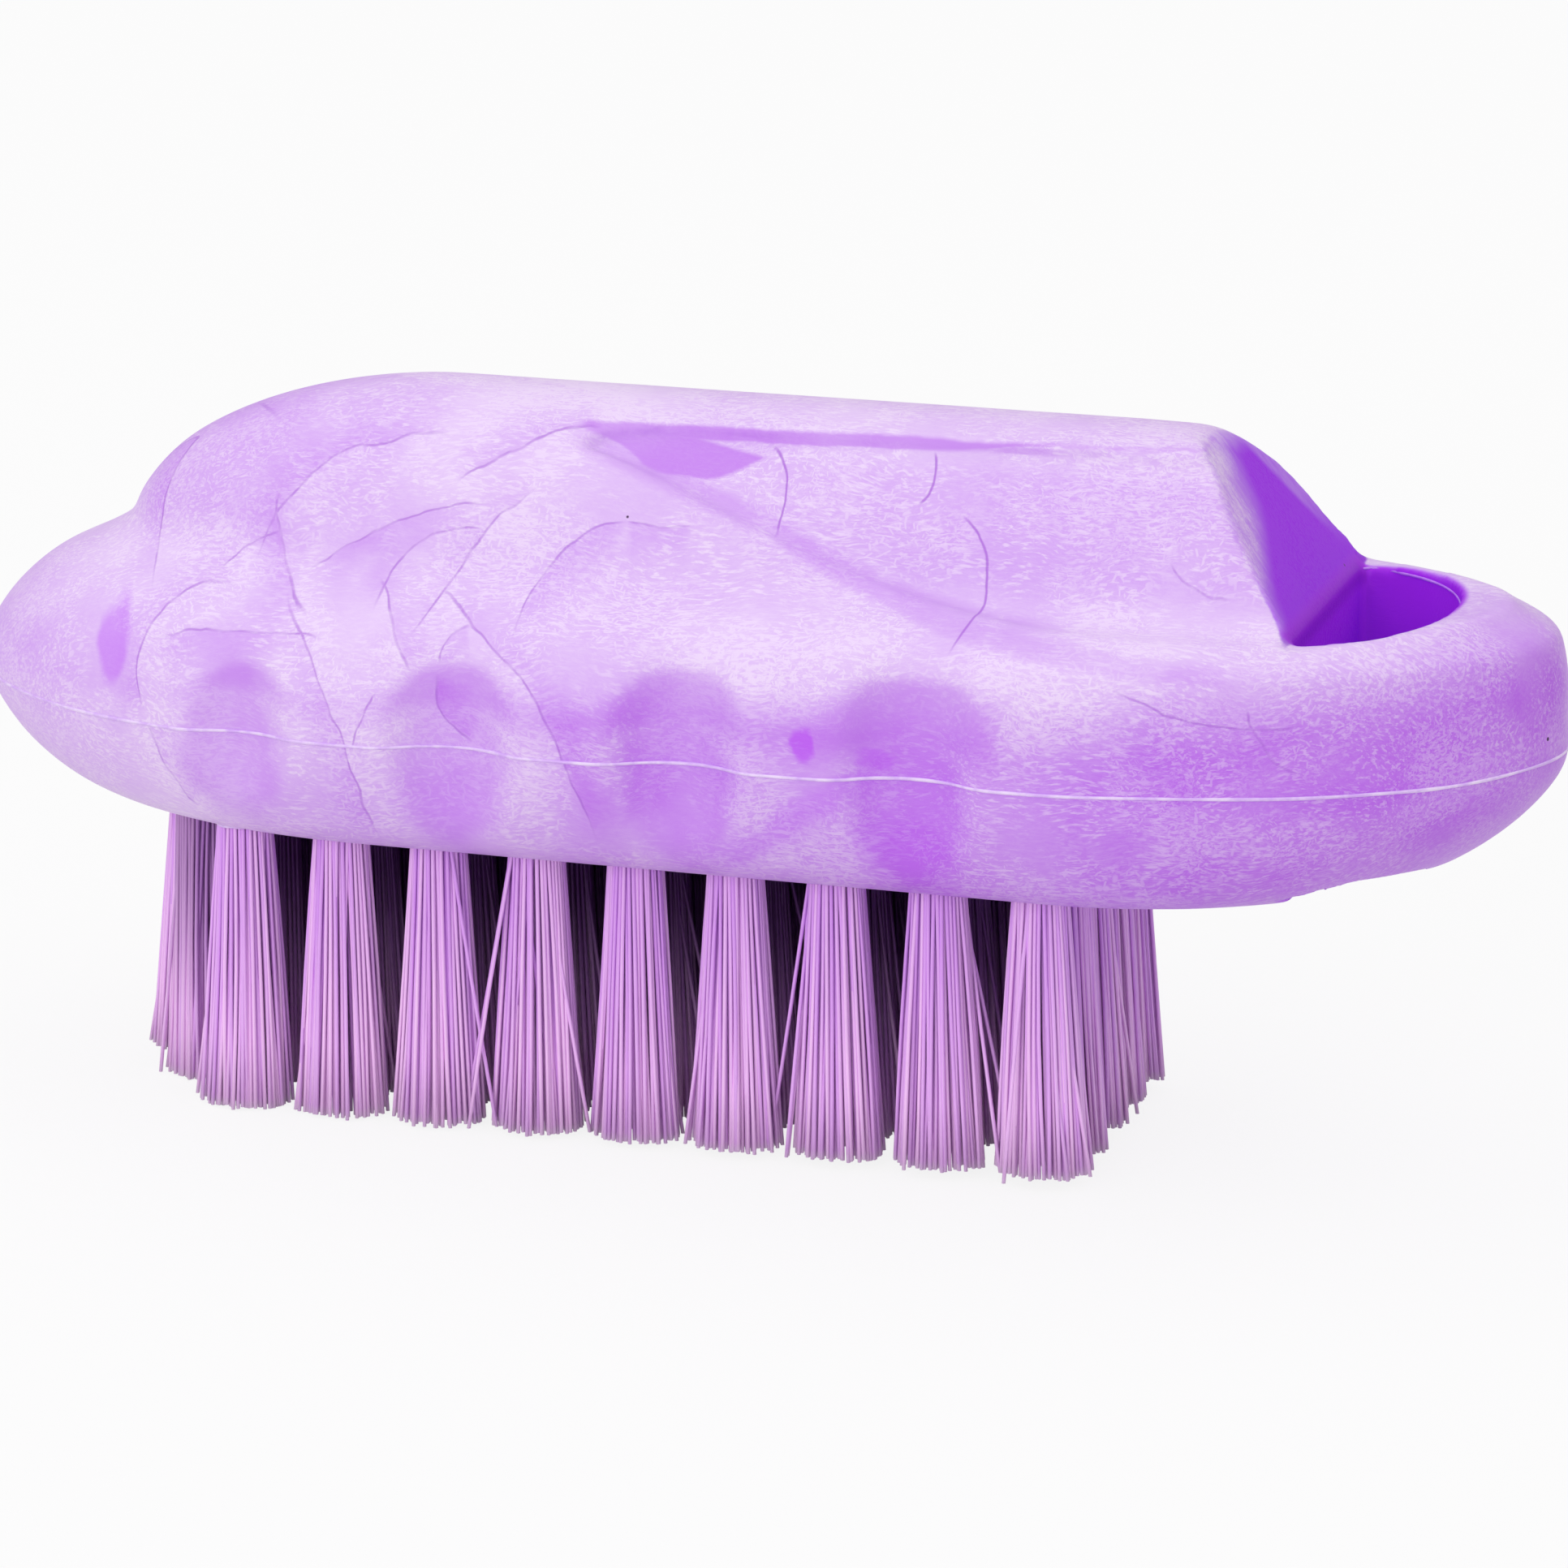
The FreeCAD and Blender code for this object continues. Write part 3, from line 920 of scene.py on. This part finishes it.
def softened_body(material):
    """The moulded body with its cut edges rounded over, in place of the CAD solid."""
    carrier = new_object("body_carrier", welded_body())
    remesh = carrier.modifiers.new("remesh", "REMESH")
    remesh.mode = "VOXEL"
    remesh.voxel_size = skin_voxel
    add_smoothing(carrier, skin_smoothing_rounds)
    skin = evaluated(carrier)
    carrier.modifiers.clear()
    carrier.data = skin
    group = carrier.vertex_groups.new(name="rounded")
    for vert in skin.vertices:
        weight = rounding_share(vert.co)
        if weight:
            group.add([vert.index], weight, "REPLACE")
    add_smoothing(carrier, rounding_rounds).vertex_group = group.name
    skin = evaluated(carrier)
    bpy.data.objects.remove(carrier)
    skin.polygons.foreach_set("use_smooth", [True] * len(skin.polygons))
    piece = new_piece("body_skin", skin, material)
    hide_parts("brush_body")
    return piece


def section_loops(mesh, level, climb):
    """The closed outlines of a mesh where a plane cuts it, as lists of points, the longest list first."""
    cut = bmesh.new()
    cut.from_mesh(mesh)
    parts = cut.verts[:] + cut.edges[:] + cut.faces[:]
    found = bmesh.ops.bisect_plane(
        cut, geom=parts, plane_co=(0, 0, level), plane_no=(-climb, 0, 1),
        clear_inner=True, clear_outer=True)
    edges = dict.fromkeys(edge for edge in found["geom_cut"] if isinstance(edge, bmesh.types.BMEdge))
    loops = []
    while edges:
        edge = edges.popitem()[0]
        loop = [edge.verts[0], edge.verts[1]]
        while True:
            onward = [e for e in loop[-1].link_edges if e in edges]
            if not onward:
                break
            edges.pop(onward[0])
            loop.append(onward[0].other_vert(loop[-1]))
        loops.append([vert.co.copy() for vert in loop[:-1]])
    cut.free()
    return sorted(loops, key=len, reverse=True)


def even_points(loop, step):
    """Points spaced evenly along a closed outline."""
    ring = loop + loop[:1]
    lengths = [0.0]
    for start, end in zip(ring, ring[1:]):
        lengths.append(lengths[-1] + (end - start).length)
    count = round(lengths[-1] / step)
    points = []
    place = 0
    for number in range(count):
        target = lengths[-1] * number / count
        while lengths[place + 1] < target:
            place += 1
        share = (target - lengths[place]) / (lengths[place + 1] - lengths[place])
        points.append(ring[place].lerp(ring[place + 1], share))
    return points


def fix_normals(mesh):
    """Turns every face of a closed mesh outward."""
    shell = bmesh.new()
    shell.from_mesh(mesh)
    bmesh.ops.recalc_face_normals(shell, faces=shell.faces)
    shell.to_mesh(mesh)
    shell.free()


def closed_mesh(name, verts, faces):
    """A closed mesh, smooth along its sides and flat at its ends."""
    mesh = bpy.data.meshes.new(name)
    mesh.from_pydata(verts, [], faces)
    mesh.update()
    fix_normals(mesh)
    mesh.polygons.foreach_set("use_smooth", [len(face) == 4 for face in faces])
    return mesh


def band_faces(first, count, size):
    """The faces of a closed band of cross-sections with the given number of points each."""
    faces = []
    for number in range(count):
        here = first + number * size
        onward = first + (number + 1) % count * size
        for k in range(size):
            k_next = (k + 1) % size
            faces.append((here + k, here + k_next, onward + k_next, onward + k))
    return faces


def line_section(proud):
    """Cross-section of a raised line: shares of its half height upward, and lengths outward."""
    shoulder = line_shoulder_rise * proud
    return [
        (-1.0, -line_seat),
        (-line_shoulder, shoulder),
        (0.0, proud),
        (line_shoulder, shoulder),
        (1.0, -line_seat),
    ]


def bead(name, loop, half_height, proud, inward, start, material):
    """A low raised line along an outline, sunk into the wall behind it to the left of the start."""
    points = even_points(loop, line_step)
    count = len(points)
    turn = sum((points[i].x * points[i - 1].y - points[i - 1].x * points[i].y) for i in range(count))
    side = math.copysign(1.0, turn if inward else -turn)
    section = line_section(proud)
    verts = []
    for number, point in enumerate(points):
        run = points[(number + 1) % count] - points[number - 1]
        out = Vector((run.y, -run.x, 0)).normalized() * side
        wave = noise.noise(point / line_wave_length) * line_wave
        swell = 1.0 + line_swell * noise.noise(point / line_swell_length)
        sunk = ease(start - point.x, 0.0, line_step) * proud * 2
        for rise, reach in section:
            height = wave + rise * half_height * swell
            verts.append(point + out * (reach * swell - sunk) + Vector((0, 0, height)))
    mesh = closed_mesh(name, verts, band_faces(0, count, len(section)))
    return new_piece(name, mesh, material)


def tuft_ends(name):
    """The middles of a CAD tuft's root and tip, and the half sizes of both along X and Y."""
    low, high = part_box(name)
    points = [vert.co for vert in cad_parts[name].data.vertices]

    def end(level):
        ring = [point for point in points if abs(point.z - level) < level_tolerance]
        left = min(point.x for point in ring)
        right = max(point.x for point in ring)
        near = min(point.y for point in ring)
        far = max(point.y for point in ring)
        middle = Vector(((left + right) / 2, (near + far) / 2, level))
        return middle, Vector(((right - left) / 2, (far - near) / 2, 0))

    return end(high.z) + end(low.z)


def burrs(ends, material):
    """Thin uneven lips of plastic around the mouths of the tuft holes."""
    verts = []
    faces = []
    for root, root_half, tip, tip_half in ends:
        faces += band_faces(len(verts), burr_steps, len(burr_section))
        for step in range(burr_steps):
            angle = math.tau * step / burr_steps
            out = Vector((math.cos(angle), math.sin(angle), 0))
            foot = Vector((root.x, root.y, underside)) + out * burr_radius
            drop = burr_drop * max(burr_least, noise.noise(foot / burr_patch) + burr_average)
            for outward, upward, downward in burr_section:
                height = burr_width * upward - drop * downward
                verts.append(foot + out * burr_width * outward + Vector((0, 0, height)))
    mesh = closed_mesh("mouth_burrs", verts, faces)
    return new_piece("mouth_burrs", mesh, material)


def packed_places(reach):
    """Share of the reach and angle of every filament in a tuft, in close rings from the outside in."""
    places = []
    ring = reach
    while ring > filament_radius:
        count = int(math.tau * ring / (filament_radius * 2))
        turn = ring / filament_radius
        places += [(ring / reach, turn + math.tau * number / count) for number in range(count)]
        ring -= filament_radius * 2 * (1 - ring_overlap_share)
    return places


def filament_line(dice, root, root_half, tip, tip_half, share, angle):
    """The points of one filament, from inside its hole to its cut end."""
    out = Vector((math.cos(angle), math.sin(angle), 0))
    wall = Vector((filament_radius, filament_radius, 0))
    start = Vector((root.x, root.y, underside)) + out * share * (root_half - wall)
    reach = dice.uniform(least_reach, most_reach)
    end = tip + out * share ** outward_power * (tip_half - wall) * reach
    end += Vector((dice.gauss(0, 1), dice.gauss(0, 1), 0)) * tip_scatter
    if dice.random() < stray_share:
        end += Vector((dice.gauss(0, 1), dice.gauss(0, stray_side_share), 0)) * stray_reach
    bow = Vector((dice.gauss(0, 1), dice.gauss(0, 1), 0)) * bow_scatter
    points = [start + Vector((0, 0, filament_anchorage))]
    for ring in range(filament_rings - 1):
        way = ring / (filament_rings - 2)
        points.append(start.lerp(end, way) + bow * math.sin(math.pi * way))
    return points


def add_tube(verts, faces, tones, alongs, points, tone):
    """Adds one closed filament along its points."""
    first = len(verts)
    for number, point in enumerate(points):
        for side in range(filament_sides):
            angle = math.tau * side / filament_sides
            verts.append(point + Vector((math.cos(angle), math.sin(angle), 0)) * filament_radius)
            tones.append(tone)
            alongs.append(number / (len(points) - 1))
    for number in range(len(points) - 1):
        here = first + number * filament_sides
        for side in range(filament_sides):
            side_next = (side + 1) % filament_sides
            onward = here + filament_sides
            faces.append((here + side, here + side_next, onward + side_next, onward + side))
    last = len(verts) - filament_sides
    faces.append(tuple(range(first + filament_sides - 1, first - 1, -1)))
    faces.append(tuple(range(last, last + filament_sides)))


def field_depth(root, field):
    """How far inside the bristle field a tuft stands: 0 at its border, 1 well inside."""
    low, high = field
    gap = min(root.x - low.x, high.x - root.x, root.y - low.y, high.y - root.y)
    return ease(gap, 0.0, field_shade_depth)


def tuft(name, ends, field, material):
    """One tuft of filaments in place of its CAD solid."""
    root, root_half, tip, tip_half = ends
    low, high = field
    dice = random.Random(name)
    spin = dice.uniform(0, math.tau)
    fall = trim_fall * (root.x - low.x) / (high.x - low.x)
    verts, faces, tones, alongs = [], [], [], []
    for share, angle in packed_places(root_half.x - filament_radius):
        cut = Vector((tip.x, tip.y, fall + abs(dice.gauss(0, trim_scatter / 2))))
        turned = angle + spin + dice.gauss(0, turn_scatter)
        points = filament_line(dice, root, root_half, cut, tip_half, share, turned)
        add_tube(verts, faces, tones, alongs, points, dice.random())
    mesh = closed_mesh("bristles_" + name, verts, faces)
    # How deep the tuft stands in the field, for its painted shade
    depths = [field_depth(root, field)] * len(verts)
    for label, values in {"tone": tones, "along": alongs, "depth": depths}.items():
        mesh.attributes.new(label, "FLOAT", "POINT").data.foreach_set("value", values)
    piece = new_piece("bristles_" + name.removeprefix("tuft_"), mesh, material)
    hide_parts(name)
    return piece


def camera_back():
    """The direction from the target back to the camera."""
    turn = math.radians(camera_azimuth)
    tilt = math.radians(camera_elevation)
    return Vector((math.sin(turn) * math.cos(tilt), -math.cos(turn) * math.cos(tilt), math.sin(tilt)))


def add_camera():
    """A camera at the photograph's viewing angle."""
    data = bpy.data.cameras.new("camera")
    data.sensor_width = sensor_width
    data.lens = lens_length
    data.clip_start = camera_clip_start
    camera = new_object("camera", data)
    back = camera_back()
    camera.location = camera_target + back * camera_distance
    camera.rotation_euler = back.to_track_quat("Z", "Y").to_euler()
    bpy.context.scene.camera = camera


def add_lamp():
    """A soft rectangular lamp in front of the brush."""
    data = bpy.data.lights.new("key", "AREA")
    data.shape = "RECTANGLE"
    data.size = lamp_width
    data.size_y = lamp_height
    data.energy = lamp_power
    lamp = new_object("key", data)
    lamp.location = lamp_place
    lamp.rotation_euler = (lamp_place - lamp_aim).to_track_quat("Z", "Y").to_euler()


def add_world():
    """Soft white light from all around, stronger from above."""
    world = bpy.data.worlds.new("studio")
    bpy.context.scene.world = world
    world.use_nodes = True
    tree = world.node_tree
    background = tree.nodes["Background"]
    background.inputs["Color"].default_value = white
    toward = tree.nodes.new("ShaderNodeTexCoord")
    height = tree.nodes.new("ShaderNodeSeparateXYZ")
    ramp = tree.nodes.new("ShaderNodeMapRange")
    ramp.inputs["From Min"].default_value = 0.0
    ramp.inputs["From Max"].default_value = 1.0
    ramp.inputs["To Min"].default_value = sky_strength_low
    ramp.inputs["To Max"].default_value = sky_strength_high
    tree.links.new(toward.outputs["Generated"], height.inputs[0])
    tree.links.new(height.outputs["Z"], ramp.inputs["Value"])
    tree.links.new(ramp.outputs[0], background.inputs["Strength"])


def floor_paint():
    """A near-white floor whose own brightness shows only in the view, in gloss and through glass."""
    paint = Paint("floor_white")
    paint.set_input("Base Color", floor_white)
    paint.set_input("Roughness", floor_roughness)
    paint.set_input("Specular IOR Level", floor_gloss)
    glow = paint.add("ShaderNodeEmission", {"Color": white, "Strength": 1.0})
    rays = paint.add("ShaderNodeLightPath", {}).outputs
    seen = paint.most(rays["Is Camera Ray"], rays["Is Glossy Ray"])
    seen = paint.most(seen, rays["Is Transmission Ray"])
    share = paint.times(seen, floor_glow_share)
    inputs = {0: share, 1: paint.shader.outputs[0], 2: glow.outputs[0]}
    blend = paint.add("ShaderNodeMixShader", inputs)
    output = paint.tree.nodes["Material Output"]
    paint.feed(output.inputs["Surface"], blend.outputs[0])
    return paint.material


def add_floor():
    """A plain floor that shows the object's shadow faintly."""
    mesh = bpy.data.meshes.new("floor")
    corners = [(-1, -1), (1, -1), (1, 1), (-1, 1)]
    mesh.from_pydata([(x * floor_reach, y * floor_reach, 0) for x, y in corners], [], [(0, 1, 2, 3)])
    floor = new_object("floor", mesh)
    mesh.materials.append(floor_paint())


def dress_anchors(material):
    """Gives the hidden anchors their wire finish."""
    for name in anchor_names:
        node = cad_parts[name]
        node.data.materials.clear()
        node.data.materials.append(material)


def build():
    """The pieces of the brush, then the camera, the light and the floor."""
    scene = bpy.context.scene
    scene.view_settings.view_transform = "Standard"
    edge_material = edge_paint("pale_moulding_edge", witness_dark, witness_pale)
    line_material = edge_paint("violet_moulding_edge", rim_line_dark, rim_line_pale)
    skin = softened_body(body_paint())
    bead("witness_line", section_loops(skin.data, witness_level, witness_climb)[0],
         witness_half_height, witness_proud, False, body_low.x, edge_material)
    bead("hole_rim_line", section_loops(skin.data, rim_line_level, 0.0)[1],
         rim_line_half_height, rim_line_proud, True, rim_line_start, line_material)
    ends = {name: tuft_ends(name) for name in tuft_names}
    burrs(ends.values(), edge_material)
    roots = [root for root, root_half, tip, tip_half in ends.values()]
    field = (Vector(map(min, *roots)), Vector(map(max, *roots)))
    filament_material = filament_paint()
    for name in tuft_names:
        tuft(name, ends[name], field, filament_material)
    dress_anchors(wire_paint())
    add_camera()
    add_world()
    add_floor()
    add_lamp()


build()
